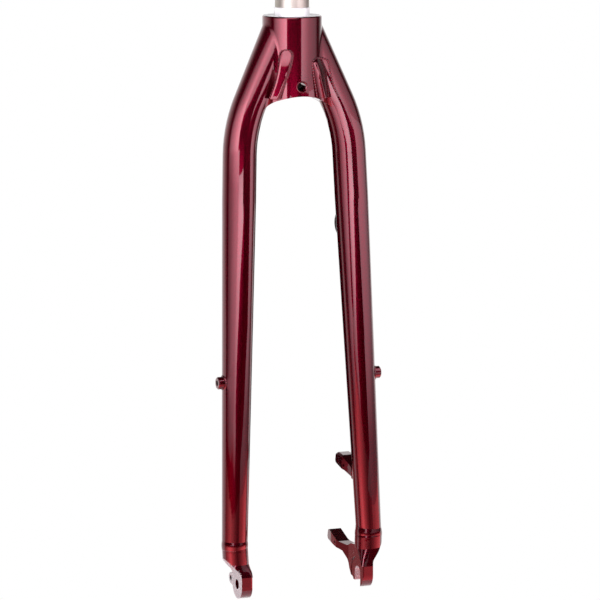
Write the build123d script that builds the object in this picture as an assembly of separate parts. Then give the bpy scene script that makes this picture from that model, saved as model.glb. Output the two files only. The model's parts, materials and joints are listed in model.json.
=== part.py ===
from build123d import *
from math import cos, radians, sin, tan
import os

# Rigid disc-brake bicycle fork. Millimetres. X is the bike's left, Y is rearward, Z is up the steerer axis.
# The origin is on the steerer axis, at the foot of the crown race seat.

# Steerer tube
STEERER_OD = 28.6
STEERER_WALL = 2.4
STEERER_LENGTH = 210.0          # above the crown
STEERER_INSERT = 65.0           # inside the crown
RACE_SEAT_OD = 30.0
RACE_SEAT_HEIGHT = 6.8
STEERER_EDGE = 0.6

# Crown
CROWN_OD = 50.0
CROWN_APEX = 66.0               # from the top face to the top of the arched underside
ARCH_RADIUS = 48.0
CROWN_TOP_EDGE = 1.4
CROWN_HOLE_D = 7.0
CROWN_HOLE_DEPTH = 58.0         # hole centre below the top face
CROWN_HOLE_CHAMFER = 1.3

# Legs: straight, bend, straight run that tapers to the dropout, all in one plane that leans forward
LEG_OD = 28.6
LEG_TIP_OD = 21.8
LEG_WALL = 2.4
LEG_LEAN = 3.45                 # degrees, forward of the steerer axis
LEG_CROWN_ANGLE = 24.3          # degrees from the plane's centre line, above the bend
LEG_SPLAY = 2.08                # the same, below the bend
BEND_OFFSET = 48.2              # bend corner, sideways from the centre line
BEND_DEPTH = 92.7               # bend corner, down from the crown's top
BEND_RADIUS = 115.0
LEG_START_DEPTH = 11.0          # inside the crown
TAPER_START_DEPTH = 155.0
WELD_RADIUS = 7.5               # smooth fillet of weld between a leg and the crown

# Gusset bars between crown and legs
GUSSET_WIDTH = 12.0
GUSSET_PROUD = 2.8              # above the crown's round surface
GUSSET_TOP_ANGLE = 27.5         # degrees round the crown from its middle
GUSSET_TOP_DEPTH = 30.0
GUSSET_FOOT_ANGLE = 43.0
GUSSET_FOOT_DEPTH = 71.0
GUSSET_THICKNESS = 16.0
GUSSET_EDGE = 1.2

# Axle and dropouts
AXLE_DEPTH = 478.0
LEFT_DROPOUT_HEIGHT = 38.0      # from the axle up to the leg's end
RIGHT_DROPOUT_HEIGHT = 34.0
HUB_SPACING = 100.0
TAB_THICKNESS = 9.5
TAB_RADIUS = 12.2
TAB_CORNER = 4.0
TAB_STOCK = 1.5                 # machined off the tab's inner side
HUB_SEAT_RADIUS = 14.2
HUB_SEAT_SINK = 1.0             # the hub's seat below the inner face
HUB_ROOM_RADIUS = 22.0
SLOT_WIDTH = 12.4               # left side, open below
SHORT_TINE = 7.6                # rear tine of the slot, below the axle
AXLE_HOLE_D = 8.4               # right side, closed
LEFT_DISH_RADIUS = 16.8         # seat machined into the outer face, at the foot of its slope
LEFT_DISH_SLOPE = 42.0          # degrees from the axle
RIGHT_DISH_RADIUS = 15.6
RIGHT_DISH_SLOPE = 31.4
DISH_COVE = 4.5
LEFT_BARREL_OD = 23.4
RIGHT_BARREL_OD = 22.0
BARREL_FLARE = 6.0
BARREL_SHIFT = 1.2              # of its lower end towards the wheel
BARREL_LENGTH = 16.0            # from the leg's end to where the barrel starts to turn square
SQUARE_HEIGHT = 8.0             # from the axle up to where it is square
PLUG_LENGTH = 16.0
PLUG_CLEARANCE = 0.1

# Mudguard eyelet on the right dropout
EYELET_BACK = 19.2              # behind the axle
EYELET_RISE = 0.9               # above the axle
EYELET_RADIUS = 4.8
EYELET_HOLE_D = 4.2
EYELET_THICKNESS = 6.0
EYELET_STEP = 1.0               # its face, in from the tab's outer face

# Brake posts on the left side
POST_SPACING = 74.2
POST_TILT = 14.0                # degrees, lower post further back
POST_BACK = 49.4                # behind the axle, half way between the two post faces
POST_RISE = 58.0                # above the axle
POST_OFFSET = 50.5              # X of the bolt plane
POST_WIDTH = 11.0
POST_HEIGHT = 9.6
POST_HOLE_D = 5.0
POST_HOLE_LENGTH = 20.0
POST_CORNER = 2.6
POST_EASE = 2.4                 # bevel along the upper post's inner top edge
WEB_ROUND = 4.0
POST_VENT_D = 2.4               # drain hole from the inner side to the end of the bolt hole

# Side outlines of the posts behind their faces, over the top and back underneath: Y and Z from the face
UPPER_WEB = [(-14.5, 4.0), (-25.0, -3.0), (-33.0, -11.0), (-33.0, -15.0), (-18.5, -8.4)]
LOWER_ARM = [(-23.0, -2.2), (-36.0, -2.8), (-44.0, 0.8), (-53.0, 2.0), (-53.0, -29.5), (-44.0, -26.9),
             (-40.0, -22.0), (-36.5, -15.0), (-29.0, -9.2), (-12.0, -7.2)]
# Plan of a post from its root to its face: Y from the face, and X in from the inner and outer sides
UPPER_PLAN = [(-34.0, 6.5, 0.0), (-15.0, 0.0, 0.0)]
LOWER_PLAN = [(-54.0, 4.6, -3.0), (-38.0, 4.6, -3.0), (-20.0, 0.0, 0.0)]

# Rack bosses
BOSS_DEPTH = 305.5
BOSS_OD = 10.6
BOSS_REACH = 4.9                # beyond the leg's outer surface
BOSS_INSERT = 5.0
BOSS_HOLE_D = 5.0
BOSS_EDGE = 0.8

# Brake hose guide on the left leg
GUIDE_DEPTH = 178.0
GUIDE_LENGTH = 19.0
GUIDE_WIDTH = 8.0
GUIDE_HEIGHT = 2.8
GUIDE_TURN = 60.0               # degrees from straight inward towards the back
HOSE_D = 5.2
GROOVE_DEPTH = 0.6
TIE_SLOT_WIDTH = 4.0
TIE_SLOT_HEIGHT = 1.0           # above the leg

LEFT_LEG_DEPTH = AXLE_DEPTH - LEFT_DROPOUT_HEIGHT
RIGHT_LEG_DEPTH = AXLE_DEPTH - RIGHT_DROPOUT_HEIGHT
TAPER_END_DEPTH = RIGHT_LEG_DEPTH
CUT = 60.0                      # generous length of cutting tools
UPWARD = (Align.CENTER, Align.CENTER, Align.MIN)
DOWNWARD = (Align.CENTER, Align.CENTER, Align.MAX)


def leaned(depth):
    """The Y and Z of the legs' plane, a depth below the crown's top along that plane."""
    return Vector(0, -depth * sin(radians(LEG_LEAN)), -depth * cos(radians(LEG_LEAN)))


def leg_axis(depth):
    """A point on the straight axis runs of the left leg, above or below the bend corner."""
    angle = LEG_CROWN_ANGLE if depth < BEND_DEPTH else LEG_SPLAY
    return leaned(depth) + Vector(BEND_OFFSET + (depth - BEND_DEPTH) * tan(radians(angle)), 0, 0)


def leg_radius(depth):
    """Outer radius of a leg at a depth in its tapered run."""
    share = (depth - TAPER_START_DEPTH) / (TAPER_END_DEPTH - TAPER_START_DEPTH)
    return (LEG_OD + (LEG_TIP_OD - LEG_OD) * share) / 2


def between(start, end, start_radius, end_radius):
    """A round bar from one point to another, tapered if the radii differ."""
    along = end - start
    plane = Plane(origin=start, z_dir=along)
    if start_radius == end_radius:
        return plane * Cylinder(start_radius, along.length, align=UPWARD)
    return plane * Cone(start_radius, end_radius, along.length, align=UPWARD)


def across(x, y, z, radius, start=-CUT, end=CUT):
    """A round bar along X at a point, from one X to another."""
    return between(Vector(x + start, y, z), Vector(x + end, y, z), radius, radius)


def leg_bar(end_depth, inset):
    """The left leg as a solid bent bar, smaller all round by an inset."""
    start, taper = leg_axis(LEG_START_DEPTH), leg_axis(TAPER_START_DEPTH)
    path = FilletPolyline(start, leg_axis(BEND_DEPTH), taper, radius=BEND_RADIUS)
    upper = sweep(Plane(origin=start, z_dir=path % 0) * Circle(LEG_OD / 2 - inset), path=path)
    end = leg_axis(end_depth)
    return upper + between(taper, end, LEG_OD / 2 - inset, leg_radius(end_depth) - inset)


def arch():
    """The round space under the crown, for the tyre."""
    middle = -CROWN_APEX - ARCH_RADIUS
    return Pos(0, 0, middle) * Rot(90, 0, 0) * Cylinder(ARCH_RADIUS, 2 * CUT)


def crown_blank():
    """The crown's outer form, without its bores."""
    height = CROWN_APEX + CROWN_OD / 4
    blank = Pos(0, 0, -height) * Cylinder(CROWN_OD / 2, height, align=UPWARD)
    blank = fillet(blank.edges().group_by(Axis.Z)[-1], CROWN_TOP_EDGE)
    return blank - arch()


def crown_bolt_hole():
    return Pos(0, 0, -CROWN_HOLE_DEPTH) * Rot(90, 0, 0) * Cylinder(CROWN_HOLE_D / 2, 2 * CUT)


def crown():
    body = crown_blank() - Cylinder(STEERER_OD / 2, 4 * CUT) - crown_bolt_hole()
    for side in (-1, 1):
        mouth = between(
            Vector(0, side * (CROWN_OD / 2 - CROWN_HOLE_CHAMFER), -CROWN_HOLE_DEPTH),
            Vector(0, side * (CROWN_OD / 2 + CROWN_HOLE_CHAMFER), -CROWN_HOLE_DEPTH),
            CROWN_HOLE_D / 2,
            CROWN_HOLE_D / 2 + 2 * CROWN_HOLE_CHAMFER,
        )
        body -= mouth
    return body


def steerer_tube():
    """Tube with the race seat as a collar, its foot recessed in the crown."""
    outer, bore = STEERER_OD / 2, STEERER_OD / 2 - STEERER_WALL
    outline = Polyline(
        (bore, -STEERER_INSERT),
        (outer, -STEERER_INSERT),
        (outer, 0),
        (RACE_SEAT_OD / 2, 0),
        (RACE_SEAT_OD / 2, RACE_SEAT_HEIGHT - STEERER_EDGE),
        (RACE_SEAT_OD / 2 - STEERER_EDGE, RACE_SEAT_HEIGHT),
        (outer, RACE_SEAT_HEIGHT),
        (outer, STEERER_LENGTH - STEERER_EDGE),
        (outer - STEERER_EDGE, STEERER_LENGTH),
        (bore, STEERER_LENGTH),
        close=True,
    )
    return revolve(Plane.XZ * make_face(outline), Axis.Z) - crown_bolt_hole()


def rack_boss_place():
    """Centre of the left boss's root on the leg's outer surface."""
    return leg_axis(BOSS_DEPTH) + Vector(leg_radius(BOSS_DEPTH), 0, 0)


def rack_boss():
    root = rack_boss_place()
    inner, outer = root - Vector(BOSS_INSERT, 0, 0), root + Vector(BOSS_REACH, 0, 0)
    boss = between(inner, outer, BOSS_OD / 2, BOSS_OD / 2)
    boss = chamfer(boss.edges().group_by(Axis.X)[-1], BOSS_EDGE)
    return boss - across(root.X, root.Y, root.Z, BOSS_HOLE_D / 2)


def crown_weld():
    """Smooth fillet of weld metal round the left leg where it meets the crown."""
    post = Rot(0, 0, 180) * Cylinder(CROWN_OD / 2, 4 * CUT, align=DOWNWARD)
    start, corner = leg_axis(LEG_START_DEPTH), leg_axis(BEND_DEPTH)
    bar = between(start, corner + (corner - start), LEG_OD / 2, LEG_OD / 2)
    seam = new_edges(post, bar, combined=post + bar).filter_by(GeomType.BSPLINE)
    return fillet(seam, WELD_RADIUS) - post - bar - arch()


def leg(end_depth):
    """The left leg as a tube, coped and welded to the crown, with the seat of its rack boss."""
    tube = leg_bar(end_depth, 0) + weld - leg_bar(end_depth, LEG_WALL) - crown_blank()
    root = rack_boss_place()
    return tube - across(root.X, root.Y, root.Z, BOSS_OD / 2, -2 * LEG_WALL - BOSS_OD / 2, CUT)


def gusset(facing):
    """Bar in the valley between crown and left leg, -1 in front or 1 behind, cut to fit both."""
    ring = CROWN_OD / 2 + GUSSET_PROUD
    points = []
    for angle, depth in ((GUSSET_TOP_ANGLE, GUSSET_TOP_DEPTH), (GUSSET_FOOT_ANGLE, GUSSET_FOOT_DEPTH)):
        points.append(Vector(ring * sin(radians(angle)), facing * ring * cos(radians(angle)), -depth))
    top, foot = points
    along = foot - top
    face = Vector(0, facing, 0)
    plane = Plane(origin=top, x_dir=along, z_dir=face - along * (face.dot(along) / along.dot(along)))
    bar = Box(along.length, GUSSET_WIDTH, GUSSET_THICKNESS, align=(Align.MIN, Align.CENTER, Align.MAX))
    rims = bar.faces().sort_by(Axis.Z)[-1].edges().filter_by(Axis.X)
    bar = plane * fillet(rims, GUSSET_EDGE)
    return bar - crown_blank() - leg_bar(LEFT_LEG_DEPTH, 0) - weld - arch()


AXLE = leg_axis(AXLE_DEPTH)
HUB_FACE = HUB_SPACING / 2
INNER_FACE = HUB_FACE - HUB_SEAT_SINK
TAB_FACE = HUB_FACE + TAB_THICKNESS


def round_axle(radius, inner, outer):
    return across(0, AXLE.Y, AXLE.Z, radius, inner, outer)


def dish(foot, slope):
    """Machined seat on the outer face, with a slope that flares out through the barrel."""
    edge = (CUT, foot + CUT * tan(radians(slope)))
    profile = make_face(Polyline((0, 0), (0, foot), edge, (CUT, 0), close=True))
    profile = fillet(profile.vertices().sort_by_distance((0, foot))[0], DISH_COVE)
    place = Plane(origin=(TAB_FACE, AXLE.Y, AXLE.Z), x_dir=(1, 0, 0), z_dir=(0, -1, 0))
    return revolve(place * profile, Axis((0, AXLE.Y, AXLE.Z), (1, 0, 0)))


def barrel_ring(leg_end_depth, below, radius):
    """A section of the barrel, square to the leg, that drifts towards the wheel below the leg's end."""
    centre, next_centre = (leg_axis(leg_end_depth + below + step) for step in (0, 1))
    drift = Vector(-BARREL_SHIFT * below / BARREL_LENGTH, 0, 0)
    return Plane(origin=centre + drift, z_dir=centre - next_centre) * Circle(radius)


def dropout_blank(leg_end_depth, barrel_radius):
    """Left dropout before its cuts: plug in the leg, barrel, and its turn into a tab round the axle."""
    tip_radius = leg_radius(leg_end_depth)
    plug_radius = tip_radius - LEG_WALL - PLUG_CLEARANCE
    body = between(leg_axis(leg_end_depth - PLUG_LENGTH), leg_axis(leg_end_depth), plug_radius, plug_radius)
    rings = [barrel_ring(leg_end_depth, 0, tip_radius)]
    rings += [barrel_ring(leg_end_depth, below, barrel_radius) for below in (BARREL_FLARE, BARREL_LENGTH)]
    body += loft(rings, ruled=True)
    inner, outer = INNER_FACE - TAB_STOCK, AXLE.X + barrel_radius - BARREL_SHIFT
    middle = Vector((inner + outer) / 2, AXLE.Y, AXLE.Z + SQUARE_HEIGHT)
    square = Plane(origin=middle, x_dir=(1, 0, 0), z_dir=(0, 0, 1)) * RectangleRounded(
        outer - inner, 2 * TAB_RADIUS, TAB_CORNER
    )
    body += loft([rings[-1], square])
    tab = extrude(square, amount=-2 * TAB_RADIUS)
    foot = round_axle(TAB_RADIUS, 0, 2 * CUT)
    foot += Pos(CUT, AXLE.Y, AXLE.Z) * Box(2 * CUT, 2 * TAB_RADIUS, CUT, align=UPWARD)
    return body + (tab & foot)


def hub_cuts():
    """What is machined off the inner side of both dropouts: the hub's seat, and room round it."""
    return round_axle(HUB_SEAT_RADIUS, 0, HUB_FACE) + round_axle(HUB_ROOM_RADIUS, 0, INNER_FACE)


def eyelet():
    """Mudguard eyelet behind the axle, as a lobe of the tab."""
    y, z = AXLE.Y + EYELET_BACK, AXLE.Z + EYELET_RISE
    start = TAB_FACE - EYELET_STEP - EYELET_THICKNESS
    rings = [Pos(y, z) * Circle(EYELET_RADIUS), Pos(AXLE.Y, AXLE.Z) * Circle(TAB_RADIUS / 2)]
    lobe = make_hull(ShapeList(edge for ring in rings for edge in ring.edges()))
    body = extrude(Plane.YZ.offset(start) * lobe, EYELET_THICKNESS)
    return body - across(0, y, z, EYELET_HOLE_D / 2, 0, 2 * CUT)


def post_frame(place):
    """Frame of a post's face, -1 upper and 1 lower: local Y is up the face, and Z points back."""
    tilt = radians(POST_TILT)
    down = Vector(0, sin(tilt), -cos(tilt))
    middle = Vector(POST_OFFSET, AXLE.Y + POST_BACK, AXLE.Z + POST_RISE)
    middle += down * (place * POST_SPACING / 2)
    return Plane(origin=middle, x_dir=(-1, 0, 0), z_dir=(0, cos(tilt), sin(tilt)))


def post_solid(place, web, plan):
    """A post from its side outline and its plan, with a flat face for the brake."""
    frame = post_frame(place)
    face = frame.origin
    top, foot = face + frame.y_dir * (POST_HEIGHT / 2), face - frame.y_dir * (POST_HEIGHT / 2)
    outline = [(top.Y, top.Z)] + [(face.Y + y, face.Z + z) for y, z in web] + [(foot.Y, foot.Z)]
    side = make_face(Polyline(*outline, close=True))
    corners = side.vertices().sort_by(Axis.X)
    side = fillet(corners[2:-2], WEB_ROUND)
    side = fillet(side.vertices().sort_by(Axis.X)[-2:], POST_CORNER)
    inner, outer = POST_OFFSET - POST_WIDTH / 2, POST_OFFSET + POST_WIDTH / 2
    back = max(top.Y, foot.Y) + POST_CORNER
    edge_in = [(inner + x, face.Y + y) for y, x, _ in plan] + [(inner, back)]
    edge_out = [(outer - x, face.Y + y) for y, _, x in plan] + [(outer, back)]
    cover = make_face(Polyline(*edge_in, *reversed(edge_out), close=True))
    return extrude(Plane.YZ * side, 2 * CUT) & extrude(Pos(0, 0, -10 * CUT) * cover, 20 * CUT)


def post_hole(place):
    """The bolt hole of a post, with its drain hole at the blind end."""
    frame = post_frame(place)
    end = frame.origin - frame.z_dir * POST_HOLE_LENGTH
    drain = end + frame.z_dir * POST_VENT_D
    hole = between(end, frame.origin + frame.z_dir, POST_HOLE_D / 2, POST_HOLE_D / 2)
    return hole + across(drain.X, drain.Y, drain.Z, POST_VENT_D / 2, -POST_WIDTH, 0)


def upper_brake_post():
    """Welded to the left leg, with a bevel along its inner top edge."""
    side, top = POST_OFFSET - POST_WIDTH / 2, post_frame(-1).origin.Z + POST_HEIGHT / 2
    left, right = side - POST_EASE, side + 2 * POST_EASE
    high, low = top + POST_EASE, top - 2 * POST_EASE
    wedge = make_face(Polyline((left, high), (right, high), (left, low), close=True))
    bevel = extrude(Plane.XZ * wedge, CUT, both=True)
    return post_solid(-1, UPPER_WEB, UPPER_PLAN) - bevel - post_hole(-1) - leg_bar(LEFT_LEG_DEPTH, 0)


def hose_guide():
    """Low lens-shaped saddle on the leg, with a groove for the hose and a slot for a tie."""
    turn = radians(GUIDE_TURN)
    out = Vector(-cos(turn), sin(turn), 0)
    root = leg_axis(GUIDE_DEPTH) + out * leg_radius(GUIDE_DEPTH)
    along = leg_axis(GUIDE_DEPTH + 1) - leg_axis(GUIDE_DEPTH)
    plane = Plane(origin=root, x_dir=along, z_dir=out - along * (out.dot(along) / along.dot(along)))
    half = GUIDE_LENGTH / 2
    bow = ThreePointArc((-half, 0), (0, GUIDE_HEIGHT), (half, 0))
    base = Polyline((half, 0), (half, -GUIDE_WIDTH / 2), (-half, -GUIDE_WIDTH / 2), (-half, 0))
    lens = extrude(Plane.XZ * make_face([bow, base]), GUIDE_WIDTH / 2, both=True)
    groove = Pos(0, 0, GUIDE_HEIGHT + HOSE_D / 2 - GROOVE_DEPTH) * Rot(0, 90, 0) * Cylinder(HOSE_D / 2, CUT)
    slot = Pos(0, 0, TIE_SLOT_HEIGHT) * Box(TIE_SLOT_WIDTH, CUT, TIE_SLOT_HEIGHT, align=DOWNWARD)
    return plane * (lens - groove - slot) - leg_bar(LEFT_LEG_DEPTH, 0)


def left_dropout():
    """With an open axle slot, whose rear tine is the shorter, and the arm of the lower brake post."""
    body = dropout_blank(LEFT_LEG_DEPTH, LEFT_BARREL_OD / 2)
    clear_foot = Box(2 * CUT, CUT, CUT, align=(Align.CENTER, Align.MIN, Align.MAX))
    body -= Pos(CUT, AXLE.Y, AXLE.Z - SHORT_TINE) * clear_foot
    body += post_solid(1, LOWER_ARM, LOWER_PLAN)
    slot = round_axle(SLOT_WIDTH / 2, 0, 2 * CUT)
    slot += Pos(CUT, AXLE.Y, AXLE.Z) * Box(2 * CUT, SLOT_WIDTH, CUT, align=DOWNWARD)
    return body - dish(LEFT_DISH_RADIUS, LEFT_DISH_SLOPE) - hub_cuts() - slot - post_hole(1)


def right_dropout():
    """With a closed hole for the axle's end, and the mudguard eyelet."""
    body = dropout_blank(RIGHT_LEG_DEPTH, RIGHT_BARREL_OD / 2) - hub_cuts()
    body = body - dish(RIGHT_DISH_RADIUS, RIGHT_DISH_SLOPE) + eyelet()
    return mirror(body - round_axle(AXLE_HOLE_D / 2, 0, 2 * CUT), about=Plane.YZ)


weld = crown_weld()
front_bar, rear_bar, boss = gusset(-1), gusset(1), rack_boss()
nodes = {
    "steerer_tube": steerer_tube(),
    "crown": crown(),
    "left_leg": leg(LEFT_LEG_DEPTH),
    "right_leg": mirror(leg(RIGHT_LEG_DEPTH), about=Plane.YZ),
    "front_left_gusset": front_bar,
    "front_right_gusset": mirror(front_bar, about=Plane.YZ),
    "rear_left_gusset": rear_bar,
    "rear_right_gusset": mirror(rear_bar, about=Plane.YZ),
    "left_dropout": left_dropout(),
    "right_dropout": right_dropout(),
    "upper_brake_post": upper_brake_post(),
    "left_rack_boss": boss,
    "right_rack_boss": mirror(boss, about=Plane.YZ),
    "hose_guide": hose_guide(),
}

os.makedirs("parts", exist_ok=True)
for name, shape in nodes.items():
    export_step(shape, f"parts/{name}.step")
    print(name, len(shape.solids()), round(shape.volume, 1), shape.is_valid)
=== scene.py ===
import json
from math import cos, hypot, pi, radians, sin, tan

import bmesh
import bpy
from mathutils import Matrix, Vector
from mathutils.bvhtree import BVHTree


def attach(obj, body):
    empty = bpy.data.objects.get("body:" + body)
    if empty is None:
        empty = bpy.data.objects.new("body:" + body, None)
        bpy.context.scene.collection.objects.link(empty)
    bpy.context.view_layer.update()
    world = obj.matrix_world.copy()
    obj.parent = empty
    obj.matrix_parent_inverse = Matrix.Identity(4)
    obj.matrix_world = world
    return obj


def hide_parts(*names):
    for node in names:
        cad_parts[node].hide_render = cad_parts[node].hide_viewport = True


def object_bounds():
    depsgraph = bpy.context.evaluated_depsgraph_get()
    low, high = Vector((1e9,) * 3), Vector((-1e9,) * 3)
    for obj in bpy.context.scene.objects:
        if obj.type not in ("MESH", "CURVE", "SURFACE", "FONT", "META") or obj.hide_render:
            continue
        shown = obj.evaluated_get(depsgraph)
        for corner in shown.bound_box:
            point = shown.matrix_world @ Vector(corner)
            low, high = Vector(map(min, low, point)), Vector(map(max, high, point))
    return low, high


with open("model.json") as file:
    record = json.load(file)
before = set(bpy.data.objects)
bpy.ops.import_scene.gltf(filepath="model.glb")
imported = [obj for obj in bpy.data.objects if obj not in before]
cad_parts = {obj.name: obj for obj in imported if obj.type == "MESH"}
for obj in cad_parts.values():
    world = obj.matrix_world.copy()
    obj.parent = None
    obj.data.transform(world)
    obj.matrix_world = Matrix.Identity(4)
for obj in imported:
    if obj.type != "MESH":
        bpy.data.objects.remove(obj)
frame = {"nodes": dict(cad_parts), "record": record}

CAD_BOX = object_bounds()
NODES = frame["nodes"]
MOUNTS = {mount["name"]: mount for mount in frame["record"]["mounts"]}

# Camera, in metres and degrees: where it stands, and how it is turned from looking along +Y
CAMERA_PLACE = (-0.8798, -2.3648, 0.1900)
CAMERA_TURN = 20.569
CAMERA_PITCH = -9.701
CAMERA_ROLL = 0.106
CAMERA_LENS = 181.06            # millimetres, on a sensor of the width below
CAMERA_SENSOR = 36.0

# Light cards, in metres, with left and right as the camera sees them. Level rows from the top down: Z, then
# X, Y and glow along the row. The dark flag and the bounce stand behind the gap between the legs.
LEFT_CARD = [
    (-0.100, [(-0.112, -0.170, 5.6), (-0.24, -0.087, 2.2), (-0.40, 0.02, 0.40)]),
    (-0.140, [(-0.112, -0.170, 3.6), (-0.24, -0.087, 1.2), (-0.40, 0.02, 0.30)]),
    (-0.170, [(-0.114, -0.163, 3.4), (-0.24, -0.087, 1.2), (-0.40, 0.02, 0.30)]),
    (-0.270, [(-0.138, -0.135, 2.4), (-0.25, -0.060, 0.8), (-0.40, 0.02, 0.20)]),
    (-0.345, [(-0.150, -0.122, 1.3), (-0.28, -0.040, 0.5), (-0.40, 0.02, 0.15)]),
    (-0.385, [(-0.170, -0.100, 0.3), (-0.28, -0.040, 0.2), (-0.40, 0.02, 0.10)]),
]
FRONT_CARD = [
    (-0.125, [(-0.28, -0.535, 5.0), (0.012, -0.535, 5.5)]),
    (-0.165, [(-0.28, -0.535, 5.6), (0.012, -0.535, 7.0)]),
    (-0.275, [(-0.42, -0.535, 3.2), (-0.150, -0.535, 5.0)]),
    (-0.330, [(-0.47, -0.535, 2.4), (-0.260, -0.535, 3.6)]),
    (-0.375, [(-0.57, -0.535, 1.6), (-0.310, -0.535, 2.4)]),
    (-0.405, [(-1.00, -0.535, 1.2), (-0.270, -0.535, 1.8)]),
    (-0.450, [(-1.00, -0.535, 0.1), (-0.300, -0.535, 0.2)]),
]
RIGHT_CARD = [
    (-0.075, [(0.102, -0.110, 3.2), (0.20, -0.03, 1.2), (0.40, 0.06, 0.40)]),
    (-0.280, [(0.112, -0.110, 1.9), (0.20, -0.03, 0.7), (0.40, 0.06, 0.20)]),
    (-0.380, [(0.130, -0.250, 0.9), (0.20, -0.10, 0.4), (0.40, 0.06, 0.10)]),
    (-0.440, [(0.030, -0.275, 0.4), (0.20, -0.13, 0.3), (0.40, 0.06, 0.10)]),
]
CROWN_LEFT_CARD = [
    (0.120, [(-0.150, -0.186, 2.0), (-0.26, -0.09, 1.0), (-0.40, 0.02, 0.3)]),
    (0.000, [(-0.150, -0.186, 7.0), (-0.26, -0.09, 3.0), (-0.40, 0.02, 0.4)]),
    (-0.090, [(-0.150, -0.186, 7.0), (-0.26, -0.09, 3.0), (-0.40, 0.02, 0.4)]),
    (-0.125, [(-0.150, -0.186, 3.6), (-0.26, -0.09, 1.2), (-0.40, 0.02, 0.3)]),
]
CROWN_RIGHT_CARD = [
    (0.150, [(0.082, -0.315, 4.0), (0.20, -0.20, 1.6), (0.42, -0.02, 0.4)]),
    (-0.090, [(0.082, -0.315, 4.0), (0.20, -0.20, 1.6), (0.42, -0.02, 0.4)]),
]
HIGH_CARD = [
    (0.500, [(-0.55, -0.42, 5.0), (-0.30, -0.42, 4.0), (-0.02, -0.42, 3.0)]),
    (0.200, [(-0.55, -0.42, 5.0), (-0.30, -0.42, 5.0), (-0.01, -0.42, 3.2)]),
    (0.045, [(-0.30, -0.42, 2.5), (-0.15, -0.42, 3.0), (0.00, -0.42, 3.4)]),
]
DARK_FLAG = [
    (-0.10, [(-0.030, 0.035, 0.0), (0.040, 0.035, 0.0)]),
    (-0.40, [(-0.030, 0.035, 0.0), (0.040, 0.035, 0.0)]),
]
BACK_BOUNCE = [
    (-0.40, [(-0.030, 0.035, 0.4), (0.040, 0.035, 0.4)]),
    (-0.52, [(-0.030, 0.035, 0.5), (0.040, 0.035, 0.5)]),
]
CARDS = {
    "left_card": LEFT_CARD,
    "front_card": FRONT_CARD,
    "right_card": RIGHT_CARD,
    "crown_left_card": CROWN_LEFT_CARD,
    "crown_right_card": CROWN_RIGHT_CARD,
    "high_card": HIGH_CARD,
    "dark_flag": DARK_FLAG,
}
CARD_COLOUR = (1.0, 0.96, 1.04, 1.0)
FLOOR_BOUNCE = (1.0, 0.29, 0.30, 1.0)    # the floor throws back the paint's red

# The low card, just above the floor: Z, reach and share of the glow by row, and degrees and glow along it
LOW_STEPS = [
    (-0.450, 4.30, 0.0),
    (-0.655, 2.05, 0.0),
    (-0.660, 2.00, 1.0),
    (-0.710, 1.60, 1.0),
    (-0.720, 1.20, 1.9),
    (-0.730, 0.30, 1.9),
]
LOW_GLOW = [(-110, 0.3), (-85, 1.1), (-58, 2.6), (-29, 1.1), (-2, 0.2), (25, 0.8), (60, 2.0), (95, 1.8)]

# Lamps: place in metres, size and power
LAMPS = {
    "key_light": ((-0.9, -1.3, 1.6), 1.2, 6.0),
    "fill_light": ((1.2, -0.9, 1.1), 1.2, 3.0),
    "left_light": ((-0.75, 0.27, -0.45), 0.5, 5.0),
    "right_light": ((0.85, -0.10, -0.45), 0.5, 4.0),
}

# Room and floor, in metres
WHITE = (1.0, 1.0, 1.0, 1.0)
AMBIENT = 0.22
DARK_ROOM = 0.015               # what gloss shows in front of the object, between the cards
WALL_FADE = (0.25, 0.75)        # how far to the rear a ray points where the white wall comes in
CEILING_FADE = (0.5, 0.3)       # how far up a ray points where the wall ends
FLOOR_DROP = 0.26               # below the object
FLOOR_SIZE = 8.0
FLOOR_GLOW = 0.6
FLOOR_FADE = (0.5, 0.85)        # from the middle, where the floor fades to plain white

# Beads, in metres
BEAD_STEP = 0.0004
BEAD_SIDES = 16
BEAD_END = 0.25                 # how blunt an open bead ends
EASE_ROUNDS = 3                 # how often the corners of a line are eased
RIPPLE_PITCH = 0.0024
CONTACT = 0.00016               # a face this near to its carrier lies on it
MERGE = 0.00001                 # corners this near are one

# Beads round the pieces: half width and height, and depth of the ripples as a share
POST_BEAD = (0.0017, 0.0015)
POST_RIPPLE = 0.22
FRONT_GUSSET_BEAD = (0.0010, 0.0009)
REAR_GUSSET_BEAD = (0.0013, 0.0011)
GUSSET_RIPPLE = 0.45
BOSS_BEAD = (0.0010, 0.0009)
HOLE_BEAD = (0.0004, 0.0003)
LEG_ENDS = {                    # half width, height, and drop below the seam
    "left": (0.0070, 0.0009, 0.0040),
    "right": (0.0040, 0.0004, 0.0),
}
LEG_END_POWER = 4               # how flat the swells run out

# Round lines and threads, in metres
RING_STEPS = 72
RING_STANDOFF = 0.02            # from where the carrier is looked for
BOSS_RING = 0.005565            # just outside the boss
HOLE_RING = 0.0047              # just outside the hole
THREAD_PITCH = 0.0008
THREAD_STEPS = 36
THREAD_BEAD = (0.4 * THREAD_PITCH, 0.5 * THREAD_PITCH)
THREADED = {                    # node, distance of the mouth from the mount, and length
    "upper_post_hole": ("upper_brake_post", 0.0080, 0.0144),
    "lower_post_hole": ("left_dropout", 0.0080, 0.0144),
    "left_rack_hole": ("left_rack_boss", 0.0049, 0.0080),
    "right_rack_hole": ("right_rack_boss", 0.0049, 0.0080),
    "mudguard_eyelet": ("right_dropout", 0.0030, 0.0048),
}

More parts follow.
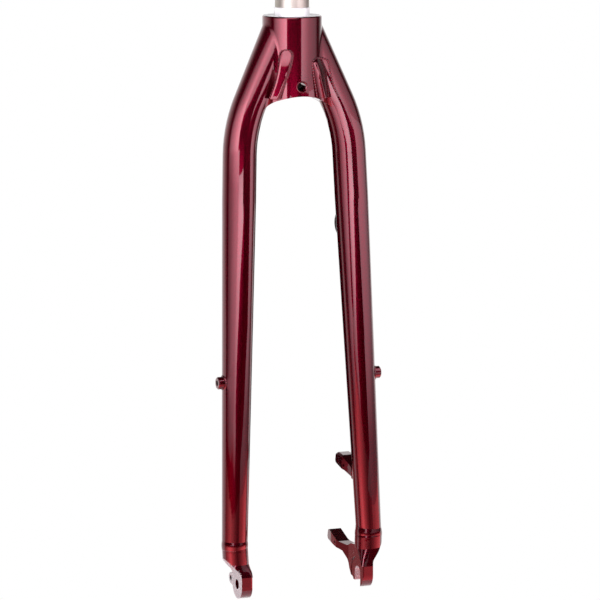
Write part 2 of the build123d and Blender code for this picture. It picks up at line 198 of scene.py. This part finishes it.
# Gussets, in metres and degrees: angles from the crown's front, and depths below its top
CROWN_RADIUS = 0.025
CROWN_ARCH = (-0.114, 0.048)    # Z of the arch's axis, and its radius
ARCH_GAP = 0.0015               # between the arch and the ends of the rear beads
GUSSETS = {                     # angles at the top and the foot, depth of the top, half widths, way it faces
    "right": (31.0, 55.0, 0.0270, 0.0060, 0.0042, 28.0),
    "left": (42.0, 55.0, 0.0345, 0.0085, 0.0075, 44.0),
}
GUSSET_FOOT = 0.0680
GUSSET_CURVE = 1.8              # how late on the way down it turns towards the leg
GUSSET_TAPER = 1.4              # how soon on the way down it has narrowed
GUSSET_RISE = (0.0003, 0.0048, 0.0074)    # above the crown at the top, at the knee and at the foot
GUSSET_KNEE = 0.52              # share of the way down from which it rises evenly
GUSSET_SINK = 0.0040            # into the crown
GUSSET_ROUND = 0.13             # share of the length in which the top rounds off
GUSSET_BLUNT = 0.05             # the least that is left of the top's width, squared
GUSSET_SQUARE = 8               # how square the section's corners are
GUSSET_STEPS = 60
GUSSET_SIDES = 20

# Bare faces, in metres and degrees
TAB_FACE = 0.0595               # X of the dropouts' outer faces
FLUSH = 0.00005                 # a face this near to a plane lies in it
DISH_RADIUS = 0.0156            # on the right side
DISH_SLOPE = 31.4
DISH_SLACK = 0.0004
EYELET_STEP = 0.001
SLOT_RADIUS = 0.0062            # on the left side
SLOT_SLACK = 0.0002
RACE_SEAT = (0.0145, 0.0070)    # the seat lies outside this radius and below this height


def add(tree, kind, inputs=None, **settings):
    """A shader node with its settings, and inputs given as values or as sockets to link."""
    made = tree.nodes.new(kind)
    for name, value in settings.items():
        setattr(made, name, value)
    for name, value in (inputs or {}).items():
        if isinstance(value, bpy.types.NodeSocket):
            tree.links.new(value, made.inputs[name])
        else:
            made.inputs[name].default_value = value
    return made


def new_material(name):
    made = bpy.data.materials.new(name)
    made.use_nodes = True
    made.node_tree.nodes.clear()
    return made, made.node_tree


def close_material(tree, shader):
    output = add(tree, "ShaderNodeOutputMaterial")
    tree.links.new(shader.outputs[0], output.inputs["Surface"])


def maths(tree, operation, first, second):
    return add(tree, "ShaderNodeMath", {0: first, 1: second}, operation=operation).outputs["Value"]


def noise(tree, vector, scale, detail=2.0, roughness=0.5):
    values = {"Vector": vector, "Scale": scale, "Detail": detail, "Roughness": roughness}
    return add(tree, "ShaderNodeTexNoise", values).outputs["Fac"]


def tool_marks(tree, vector, scale, distortion, detail=2.0, **settings):
    """Fine even waves, as a turning tool leaves them."""
    values = {"Vector": vector, "Scale": scale, "Distortion": distortion, "Detail": detail}
    return add(tree, "ShaderNodeTexWave", values, **settings).outputs["Fac"]


def bump(tree, height, strength, distance):
    values = {"Height": height, "Strength": strength, "Distance": distance}
    return add(tree, "ShaderNodeBump", values).outputs["Normal"]


def fade(tree, value, edges, **settings):
    """0 at the first edge, 1 at the second, and a ramp between them."""
    values = {"Value": value, "From Min": edges[0], "From Max": edges[1]}
    return add(tree, "ShaderNodeMapRange", values, **settings).outputs["Result"]


def spread(tree, value, low, high):
    """A 0 to 1 value as a number between low and high."""
    return add(tree, "ShaderNodeMapRange", {"Value": value, "To Min": low, "To Max": high}).outputs["Result"]


def tones(tree, value, stops):
    """A 0 to 1 value as a colour."""
    ramp = add(tree, "ShaderNodeValToRGB", {"Fac": value})
    elements = ramp.color_ramp.elements
    while len(elements) < len(stops):
        elements.new(0.5)
    for element, (place, colour) in zip(elements, stops):
        element.position = place
        element.color = (*colour, 1.0)
    return ramp.outputs["Color"]


def paint_material():
    """Candy burgundy: translucent red over metal flake, under a thick gloss clear coat."""
    made, tree = new_material("candy_paint")
    place = add(tree, "ShaderNodeTexCoord").outputs["Object"]
    flakes = add(tree, "ShaderNodeTexVoronoi", {"Vector": place, "Scale": 2600.0})
    reds = [(0.2, (0.09, 0.0006, 0.007)), (0.8, (0.13, 0.0012, 0.012))]
    shader = add(tree, "ShaderNodeBsdfPrincipled", {
        "Base Color": tones(tree, flakes.outputs["Color"], reds),
        "Metallic": 0.88,
        "Specular IOR Level": 0.0,
        "Roughness": spread(tree, noise(tree, place, 90.0), 0.20, 0.26),
        "Coat Weight": 1.0,
        "Coat Roughness": 0.015,
        "Coat IOR": 1.5,
        "Coat Normal": bump(tree, noise(tree, place, 320.0), 0.05, 0.0002),
    })
    close_material(tree, shader)
    return made


def steel_material():
    """Bare drawn tube, with fine rings from turning."""
    made, tree = new_material("bare_steel")
    place = add(tree, "ShaderNodeTexCoord").outputs["Object"]
    marks = tool_marks(tree, place, 900.0, 0.6, 1.0, bands_direction="Z")
    blotches = noise(tree, place, 70.0, 4.0)
    shader = add(tree, "ShaderNodeBsdfPrincipled", {
        "Base Color": tones(tree, blotches, [(0.3, (0.44, 0.40, 0.35)), (0.7, (0.56, 0.52, 0.47))]),
        "Metallic": 1.0,
        "Roughness": spread(tree, blotches, 0.34, 0.52),
        "Normal": bump(tree, marks, 0.25, 0.00005),
    })
    close_material(tree, shader)
    return made


def seat_material():
    """Bare turned metal, drawn near-white: the brightness above the drawn tube's is a painted highlight, on
    the race seat and the crown's top face.
    """
    made, tree = new_material("seat_painted_highlight")
    place = add(tree, "ShaderNodeTexCoord").outputs["Object"]
    marks = tool_marks(tree, place, 1600.0, 0.2, bands_direction="Z")
    grain = noise(tree, place, 500.0, 3.0)
    shader = add(tree, "ShaderNodeBsdfPrincipled", {
        "Base Color": tones(tree, grain, [(0.3, (0.86, 0.85, 0.85)), (0.7, (0.93, 0.92, 0.92))]),
        "Metallic": 0.35,
        "Roughness": spread(tree, grain, 0.32, 0.42),
        "Normal": bump(tree, marks, 0.15, 0.00003),
    })
    close_material(tree, shader)
    return made


def machined_material():
    """Bare dropout faces with fine tool marks round the axle."""
    made, tree = new_material("machined_face")
    place = add(tree, "ShaderNodeTexCoord").outputs["Object"]
    axle = MOUNTS["right_axle_hole"]["pos_m"]
    centred = add(tree, "ShaderNodeVectorMath", {0: place, 1: axle}, operation="SUBTRACT").outputs["Vector"]
    marks = tool_marks(tree, centred, 700.0, 0.8, wave_type="RINGS", rings_direction="X")
    grain = noise(tree, place, 400.0, 4.0)
    shader = add(tree, "ShaderNodeBsdfPrincipled", {
        "Base Color": tones(tree, grain, [(0.3, (0.36, 0.36, 0.38)), (0.7, (0.46, 0.45, 0.47))]),
        "Metallic": 0.6,
        "Roughness": spread(tree, grain, 0.38, 0.5),
        "Normal": bump(tree, marks, 0.2, 0.00005),
    })
    close_material(tree, shader)
    return made


def plastic_material():
    """Black moulded plastic with a fine grain."""
    made, tree = new_material("black_plastic")
    place = add(tree, "ShaderNodeTexCoord").outputs["Object"]
    grain = noise(tree, place, 900.0, 3.0)
    shader = add(tree, "ShaderNodeBsdfPrincipled", {
        "Base Color": tones(tree, grain, [(0.3, (0.006, 0.006, 0.006)), (0.7, (0.012, 0.012, 0.012))]),
        "Roughness": spread(tree, grain, 0.3, 0.45),
        "Normal": bump(tree, grain, 0.1, 0.0001),
    })
    close_material(tree, shader)
    return made


def painted_shade_material():
    """Painted shade for the steerer's inside and for the threads: near-black, with a faint mottle."""
    made, tree = new_material("painted_shade_inside")
    place = add(tree, "ShaderNodeTexCoord").outputs["Object"]
    shade_mottle = noise(tree, place, 150.0, 4.0)
    shader = add(tree, "ShaderNodeBsdfPrincipled", {
        "Base Color": tones(tree, shade_mottle, [(0.3, (0.012, 0.010, 0.009)), (0.7, (0.035, 0.030, 0.026))]),
        "Metallic": 0.8,
        "Roughness": spread(tree, shade_mottle, 0.5, 0.7),
    })
    close_material(tree, shader)
    return made


def bare_faces(name, material, is_bare):
    """Give a second material to the faces of a node that carry no paint."""
    mesh = NODES[name].data
    mesh.materials.append(material)
    slot = len(mesh.materials) - 1
    for face in mesh.polygons:
        if is_bare(face.center, face.normal):
            face.material_index = slot


def from_axle(place):
    """Distance from the axle line, seen along it."""
    axle = MOUNTS["right_axle_hole"]["pos_m"]
    return hypot(place.y - axle[1], place.z - axle[2])


def in_right_dish(place, normal):
    """The machined dish and holes of the right dropout, and the eyelet's outer face."""
    depth = -place.x - TAB_FACE
    if depth < -EYELET_STEP - FLUSH:
        return False
    rim = DISH_RADIUS + depth * tan(radians(DISH_SLOPE)) + DISH_SLACK
    dished = depth > -FLUSH and from_axle(place) < rim
    return dished or (depth < 0 and normal.x < -0.9)


def in_left_slot(place, normal):
    """The walls of the axle slot in the left dropout."""
    axle = MOUNTS["right_axle_hole"]["pos_m"]
    reach = SLOT_RADIUS + SLOT_SLACK
    near = abs(place.y - axle[1]) < reach and place.z < axle[2] + reach
    return near and abs(normal.x) < 0.1 and normal.z < 0.5


def on_race_seat(place, normal):
    return hypot(place.x, place.y) > RACE_SEAT[0] and place.z < RACE_SEAT[1]


def in_steerer_shade(place, normal):
    """The bore, and the wall behind the crown, which shows through the crown's hole: these faces get painted
    shade.
    """
    return place.z < -0.001 or place.x * normal.x + place.y * normal.y < -0.001


def on_crown_top(place, normal):
    return normal.z > 0.99 and place.z > -0.0001


def mesh_object(name, points, faces, material, smooth=False):
    """A mesh in the scene, with its faces turned outward."""
    mesh = bpy.data.meshes.new(name)
    mesh.from_pydata([tuple(p) for p in points], [], faces)
    shape = bmesh.new()
    shape.from_mesh(mesh)
    bmesh.ops.recalc_face_normals(shape, faces=shape.faces)
    shape.to_mesh(mesh)
    shape.free()
    mesh.materials.append(material)
    if smooth:
        mesh.polygons.foreach_set("use_smooth", [True] * len(mesh.polygons))
    made = bpy.data.objects.new(name, mesh)
    bpy.context.scene.collection.objects.link(made)
    return made


def surface(names):
    """A search tree over the faces of some nodes."""
    points, faces = [], []
    for name in names:
        mesh = NODES[name].data
        first = len(points)
        points += [vertex.co.copy() for vertex in mesh.vertices]
        faces += [[first + index for index in face.vertices] for face in mesh.polygons]
    return BVHTree.FromPolygons(points, faces)


def seams(name, carrier):
    """The closed lines round the faces of a node that lie on its carrier, longest first."""
    mesh = NODES[name].data
    places = [vertex.co for vertex in mesh.vertices]
    touching = [carrier.find_nearest(place)[3] < CONTACT for place in places]
    edges = set()
    for face in mesh.polygons:
        if not all(touching[index] for index in face.vertices):
            continue
        if carrier.find_nearest(face.center)[3] > CONTACT:
            continue
        corners = [tuple(round(c / MERGE) for c in places[index]) for index in face.vertices]
        for pair in zip(corners, corners[1:] + corners[:1]):
            if pair[::-1] in edges:
                edges.remove(pair[::-1])
            else:
                edges.add(pair)
    follow = dict(sorted(edges))
    loops = []
    while follow:
        start = next(iter(follow))
        loop, here = [start], follow.pop(start)
        while here in follow:
            loop.append(here)
            here = follow.pop(here)
        loops.append([Vector(corner) * MERGE for corner in loop])
    return sorted(loops, key=line_length, reverse=True)


def line_length(points):
    return sum((b - a).length for a, b in zip(points, points[1:]))


def evenly(points, closed):
    """The same line with points at even steps, and its corners eased."""
    line = points + points[:1] if closed else points
    count = max(4, round(line_length(line) / BEAD_STEP))
    step = line_length(line) / count
    spaced, run, index = [], 0.0, 0
    for number in range(count if closed else count + 1):
        goal = number * step
        while index < len(line) - 2 and run + (line[index + 1] - line[index]).length < goal:
            run += (line[index + 1] - line[index]).length
            index += 1
        span = (line[index + 1] - line[index]).length
        share = min(1.0, (goal - run) / span) if span else 0.0
        spaced.append(line[index].lerp(line[index + 1], share))
    for _ in range(EASE_ROUNDS):
        last = len(spaced) - 1
        ends = (None, None) if closed else (0, last)
        spaced = [p if i in ends else (spaced[i - 1] + p * 2 + spaced[(i + 1) % len(spaced)]) / 4
                  for i, p in enumerate(spaced)]
    return spaced


def tube_faces(count, sides, closed):
    """Quads between the rings of a tube, with ends capped if it doesn't close on itself."""
    faces = []
    for ring in range(count if closed else count - 1):
        here, there = ring * sides, (ring + 1) % count * sides
        for side in range(sides):
            turn = (side + 1) % sides
            faces.append((here + side, here + turn, there + turn, there + side))
    if not closed:
        faces.append(tuple(range(sides)))
        faces.append(tuple((count - 1) * sides + side for side in range(sides)))
    return faces


def bead(name, line, facing, size, closed=True, ripple=0.0, power=1, material=None):
    """A bead along a line, half sunk in its carrier, which faces as given. Power flattens its edges."""
    width, height = size
    path = evenly(line, closed)
    count = len(path)
    points = []
    for index, centre in enumerate(path):
        before = path[index - 1] if closed or index else centre
        after = path[(index + 1) % count] if closed or index < count - 1 else centre
        along = (after - before).normalized()
        side = along.cross(facing(centre)).normalized()
        above = side.cross(along)
        swell = 1 - ripple * abs(cos(pi * index * BEAD_STEP / RIPPLE_PITCH)) ** 1.5
        if not closed:
            swell *= max(BEAD_END, min(1.0, min(index + 1, count - index) * BEAD_STEP / width)) ** 0.5
        for turn in range(BEAD_SIDES):
            angle = 2 * pi * turn / BEAD_SIDES
            lift = max(0.0, sin(angle)) ** power + min(0.0, sin(angle))
            points.append(centre + side * (width * swell * cos(angle)) + above * (height * swell * lift))
    faces = tube_faces(count, BEAD_SIDES, closed)
    made = mesh_object(name, points, faces, material or paint, smooth=True)
    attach(made, "root")


def facing_of(carrier):
    """The way that a carrier's surface faces, nearest to a point."""
    return lambda place: carrier.find_nearest(place)[1]


def facing_out(loop):
    """The way out from the middle of a ring."""
    middle = sum(loop, Vector()) / len(loop)
    return lambda place: (place - middle).normalized()


def facing_in(start, axis):
    """The way in from a point to an axis."""
    return lambda place: start + axis * (place - start).dot(axis) - place


def mix(first, last, share):
    return first + (last - first) * share


def round_crown(angle, side):
    """The way that the crown faces at an angle from its front, towards the left or the right."""
    turn = radians(angle)
    return Vector(({"left": 1, "right": -1}[side] * sin(turn), -cos(turn), 0.0))


def gusset_section(side, share):
    """Place on the crown, way across and height of a front gusset's section, at a share of the way down."""
    top_angle, foot_angle, top_depth, top_half, foot_half, facing = GUSSETS[side]
    centre = round_crown(mix(top_angle, foot_angle, share ** GUSSET_CURVE), side) * CROWN_RADIUS
    centre.z = -mix(top_depth, GUSSET_FOOT, share)
    rounding = max(GUSSET_BLUNT, 1 - max(0.0, 1 - share / GUSSET_ROUND) ** 2) ** 0.5
    half = mix(top_half, foot_half, min(1.0, share * GUSSET_TAPER)) * rounding
    low, high, last = GUSSET_RISE
    if share < GUSSET_KNEE:
        height = mix(high, low, (1 - share / GUSSET_KNEE) ** 2)
    else:
        height = mix(high, last, (share - GUSSET_KNEE) / (1 - GUSSET_KNEE))
    return centre, round_crown(facing + 90, side) * half, height


def gusset(node, side):
    """A bar that fills the valley between crown and leg: rounded over, and narrower towards its foot."""
    facing = round_crown(GUSSETS[side][-1], side)
    points = []
    for step in range(GUSSET_STEPS + 1):
        centre, across, height = gusset_section(side, step / GUSSET_STEPS)
        for number in range(GUSSET_SIDES + 1):
            place = -cos(pi * number / GUSSET_SIDES)
            above = (GUSSET_SINK + height) * (1 - place ** GUSSET_SQUARE) ** (1 / GUSSET_SQUARE) - GUSSET_SINK
            points.append(centre + across * place + facing * above)
    faces = tube_faces(GUSSET_STEPS + 1, GUSSET_SIDES + 1, False)
    made = mesh_object(f"{node}_bar", points, faces, paint, smooth=True)
    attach(made, "root")
    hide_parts(node)


def gusset_edge(side, carrier):
    """The line up one edge of a front gusset, over its top and down the other edge."""
    facing = round_crown(GUSSETS[side][-1], side)
    edge = []
    for step in range(GUSSET_STEPS, -GUSSET_STEPS - 1, -1):
        centre, across, _ = gusset_section(side, abs(step) / GUSSET_STEPS)
        outside = centre + across * (1 if step > 0 else -1) + facing * CROWN_RADIUS
        edge.append(carrier.ray_cast(outside, -facing)[0])
    return edge


def above_arch(loop):
    """The stretch of a closed line that keeps off the crown's arched underside, as an open line."""
    level, radius = CROWN_ARCH
    clear = [hypot(place.x, place.z - level) > radius + ARCH_GAP for place in loop]
    start = next(i for i in range(len(loop)) if clear[i] and not clear[i - 1])
    turned = loop[start:] + loop[:start]
    flags = clear[start:] + clear[:start]
    return turned[:flags.index(False)]


def gussets():
    """Curved bars in front, plain ones behind, and the beads round them."""
    for side in ("left", "right"):
        front, rear = f"front_{side}_gusset", f"rear_{side}_gusset"
        carrier = surface(["crown", f"{side}_leg"])
        facing = facing_of(carrier)
        gusset(front, side)
        edge = gusset_edge(side, carrier)
        bead(f"{front}_weld", edge, facing, FRONT_GUSSET_BEAD, False, GUSSET_RIPPLE)
        edge = above_arch(seams(rear, carrier)[0])
        bead(f"{rear}_weld", edge, facing, REAR_GUSSET_BEAD, False, GUSSET_RIPPLE)


def post_weld():
    """The bead round the root of the upper brake post."""
    post = "upper_brake_post"
    carrier = surface(["left_leg"])
    bead(f"{post}_weld", seams(post, carrier)[0], facing_of(carrier), POST_BEAD, ripple=POST_RIPPLE)


def leg_ends():
    """Soft swells where the legs end on the dropouts."""
    for side, (width, height, drop) in LEG_ENDS.items():
        dropout = f"{side}_dropout"
        seam = seams(dropout, surface([f"{side}_leg"]))[0]
        loop = [place - Vector((0.0, 0.0, drop)) for place in seam]
        bead(f"{dropout}_weld", loop, facing_out(loop), (width, height), power=LEG_END_POWER)


def round_line(carrier, centre, out, across, radius):
    """A round line on a carrier, looked for from a little way out."""
    line = []
    for turn in range(RING_STEPS):
        angle = 2 * pi * turn / RING_STEPS
        spoke = across * cos(angle) + Vector((0.0, 0.0, sin(angle)))
        line.append(carrier.ray_cast(centre + out * RING_STANDOFF + spoke * radius, -out)[0])
    return line


def boss_welds():
    """Thin smooth collars where the rack bosses leave the legs."""
    for side in ("left", "right"):
        boss = f"{side}_rack_boss"
        carrier = surface([f"{side}_leg"])
        mount = MOUNTS[f"{side}_rack_hole"]
        centre, out = Vector(mount["pos_m"]), Vector(mount["axis"])
        line = round_line(carrier, centre, out, Vector((0.0, 1.0, 0.0)), BOSS_RING)
        bead(f"{boss}_weld", line, facing_of(carrier), BOSS_BEAD)


def hole_rim():
    """The thick rounded edge of paint round the crown's front hole."""
    carrier = surface(["crown"])
    centre = Vector(MOUNTS["crown_hole"]["pos_m"])
    line = round_line(carrier, centre, Vector((0.0, -1.0, 0.0)), Vector((1.0, 0.0, 0.0)), HOLE_RING)
    bead("crown_hole_rim", line, facing_of(carrier), HOLE_BEAD)


def threads():
    """A helical ridge in each threaded hole, from just inside its mouth, near-black with painted shade."""
    for hole, (node, mouth, length) in THREADED.items():
        mount = MOUNTS[hole]
        radius = mount["dims"]["r_mm"] / 1000
        axis = Vector(mount["axis"]).normalized()
        start = Vector(mount["pos_m"]) + axis * (mouth - THREAD_PITCH)
        side = axis.orthogonal().normalized()
        other = axis.cross(side)
        line = []
        for step in range(round(THREAD_STEPS * length / THREAD_PITCH) + 1):
            angle = 2 * pi * step / THREAD_STEPS
            out = side * cos(angle) + other * sin(angle)
            line.append(start - axis * (THREAD_PITCH * step / THREAD_STEPS) + out * radius)
        bead(f"{hole}_thread", line, facing_in(start, axis), THREAD_BEAD, False, material=painted_shade)


def white_to_view(tree):
    """1 for rays from the camera, and 1 for those that gloss or glass passes on."""
    path = add(tree, "ShaderNodeLightPath").outputs
    return path["Is Camera Ray"], maths(tree, "MAXIMUM", path["Is Glossy Ray"], path["Is Transmission Ray"])


def make_world():
    """White for the camera and behind the object in reflections, and a dark room in front of it."""
    world = bpy.data.worlds.new("studio")
    bpy.context.scene.world = world
    world.use_nodes = True
    tree = world.node_tree
    tree.nodes.clear()
    seen, glossy = white_to_view(tree)
    ray = add(tree, "ShaderNodeTexCoord").outputs["Generated"]
    way = add(tree, "ShaderNodeSeparateXYZ", {"Vector": ray}).outputs
    wall = maths(tree, "MULTIPLY", fade(tree, way["Y"], WALL_FADE), fade(tree, way["Z"], CEILING_FADE))
    behind = maths(tree, "MAXIMUM", wall, DARK_ROOM)
    room = add(tree, "ShaderNodeBackground", {"Color": WHITE, "Strength": AMBIENT})
    mirrored = add(tree, "ShaderNodeBackground", {"Color": WHITE, "Strength": behind})
    backdrop = add(tree, "ShaderNodeBackground", {"Color": WHITE, "Strength": 1.0})
    lit = add(tree, "ShaderNodeMixShader", {0: glossy, 1: room.outputs[0], 2: mirrored.outputs[0]})
    mixed = add(tree, "ShaderNodeMixShader", {0: seen, 1: lit.outputs[0], 2: backdrop.outputs[0]})
    output = add(tree, "ShaderNodeOutputWorld")
    tree.links.new(mixed.outputs[0], output.inputs["Surface"])


def floor_material():
    """Pale and matte, with a lift for the camera, which keeps the object's shadow."""
    made, tree = new_material("pale_floor")
    seen, glossy = white_to_view(tree)
    white = maths(tree, "MAXIMUM", seen, glossy)
    place = add(tree, "ShaderNodeTexCoord").outputs["Object"]
    greys = tones(tree, noise(tree, place, 60.0), [(0.3, (0.8, 0.8, 0.8)), (0.7, (0.84, 0.84, 0.84))])
    matte = add(tree, "ShaderNodeBsdfDiffuse", {"Color": greys})
    glow = add(tree, "ShaderNodeEmission", {"Strength": maths(tree, "MULTIPLY", white, FLOOR_GLOW)})
    near = add(tree, "ShaderNodeAddShader", {0: matte.outputs[0], 1: glow.outputs[0]})
    away = add(tree, "ShaderNodeVectorMath", {0: place}, operation="LENGTH").outputs["Value"]
    beyond = fade(tree, away, FLOOR_FADE, interpolation_type="SMOOTHSTEP")
    whitened = maths(tree, "MULTIPLY", white, beyond)
    far = add(tree, "ShaderNodeEmission", {"Strength": 1.0})
    mixed = add(tree, "ShaderNodeMixShader", {0: whitened, 1: near.outputs[0], 2: far.outputs[0]})
    close_material(tree, mixed)
    return made


def make_floor():
    half = FLOOR_SIZE / 2
    corners = [(-half, -half, 0), (half, -half, 0), (half, half, 0), (-half, half, 0)]
    floor = mesh_object("floor", corners, [(0, 1, 2, 3)], floor_material())
    floor.location.z = CAD_BOX[0].z - FLOOR_DROP


def card_material(name, colour):
    """Light of one colour, as strong as the card's glow at each point."""
    made, tree = new_material(name)
    glow = add(tree, "ShaderNodeAttribute", attribute_name="glow").outputs["Fac"]
    close_material(tree, add(tree, "ShaderNodeEmission", {"Color": colour, "Strength": glow}))
    return made


def light_card(name, rows, material):
    """A sheet of light, or a dark flag, that only the object sees."""
    points, glows, faces = [], [], []
    for level, row in rows:
        points += [(x, y, level) for x, y, glow in row]
        glows += [glow for x, y, glow in row]
    wide = len(rows[0][1])
    for number in range(len(rows) - 1):
        for first in range(number * wide, number * wide + wide - 1):
            faces.append((first, first + 1, first + wide + 1, first + wide))
    made = mesh_object(name, points, faces, material)
    made.data.attributes.new("glow", "FLOAT", "POINT").data.foreach_set("value", glows)
    made.visible_camera = False
    made.visible_shadow = False


def low_rows():
    """The rows of the low card, bent round the front."""
    rows = []
    for level, reach, share in LOW_STEPS:
        row = []
        for degrees, glow in LOW_GLOW:
            turn = radians(degrees)
            row.append((reach * sin(turn), -reach * cos(turn), glow * share))
        rows.append((level, row))
    return rows


def soft_light(name, place, size, power):
    """A lamp that looks at the object and doesn't show in its gloss."""
    lamp = bpy.data.lights.new(name, "AREA")
    lamp.size, lamp.energy = size, power
    made = bpy.data.objects.new(name, lamp)
    made.location = place
    centre = (CAD_BOX[0] + CAD_BOX[1]) / 2
    made.rotation_euler = (centre - Vector(place)).to_track_quat("-Z", "Y").to_euler()
    made.visible_glossy = False
    bpy.context.scene.collection.objects.link(made)


def make_camera():
    turn, pitch, roll = radians(CAMERA_TURN), radians(CAMERA_PITCH), radians(CAMERA_ROLL)
    forward = Vector((sin(turn) * cos(pitch), cos(turn) * cos(pitch), sin(pitch)))
    level = Vector((cos(turn), -sin(turn), 0.0))
    above = level.cross(forward)
    right = level * cos(roll) + above * sin(roll)
    up = above * cos(roll) - level * sin(roll)
    lens = bpy.data.cameras.new("camera")
    lens.lens, lens.sensor_width = CAMERA_LENS, CAMERA_SENSOR
    lens.clip_end = 100.0
    made = bpy.data.objects.new("camera", lens)
    axes = Matrix((right, up, -forward)).transposed().to_4x4()
    made.matrix_world = Matrix.Translation(CAMERA_PLACE) @ axes
    bpy.context.scene.collection.objects.link(made)
    bpy.context.scene.camera = made


paint = paint_material()
steel = steel_material()
seat = seat_material()
machined = machined_material()
plastic = plastic_material()
painted_shade = painted_shade_material()
for name, node in NODES.items():
    node.data.materials.clear()
    node.data.materials.append({"steerer_tube": steel, "hose_guide": plastic}.get(name, paint))
bare_faces("right_dropout", machined, in_right_dish)
bare_faces("left_dropout", machined, in_left_slot)
# The race seat and the crown's top face: bare metal, drawn near-white as a painted highlight.
bare_faces("steerer_tube", seat, on_race_seat)
bare_faces("crown", seat, on_crown_top)
# The steerer's bore and the wall seen through the crown's hole get painted shade.
bare_faces("steerer_tube", painted_shade, in_steerer_shade)
gussets()
post_weld()
leg_ends()
boss_welds()
hole_rim()
threads()

glow = card_material("light_card", CARD_COLOUR)
for name, rows in CARDS.items():
    light_card(name, rows, glow)
bounce = card_material("floor_bounce", FLOOR_BOUNCE)
light_card("low_card", low_rows(), bounce)
light_card("back_bounce", BACK_BOUNCE, bounce)
for name, lamp in LAMPS.items():
    soft_light(name, *lamp)
make_world()
make_floor()
make_camera()
bpy.context.scene.view_settings.view_transform = "Standard"
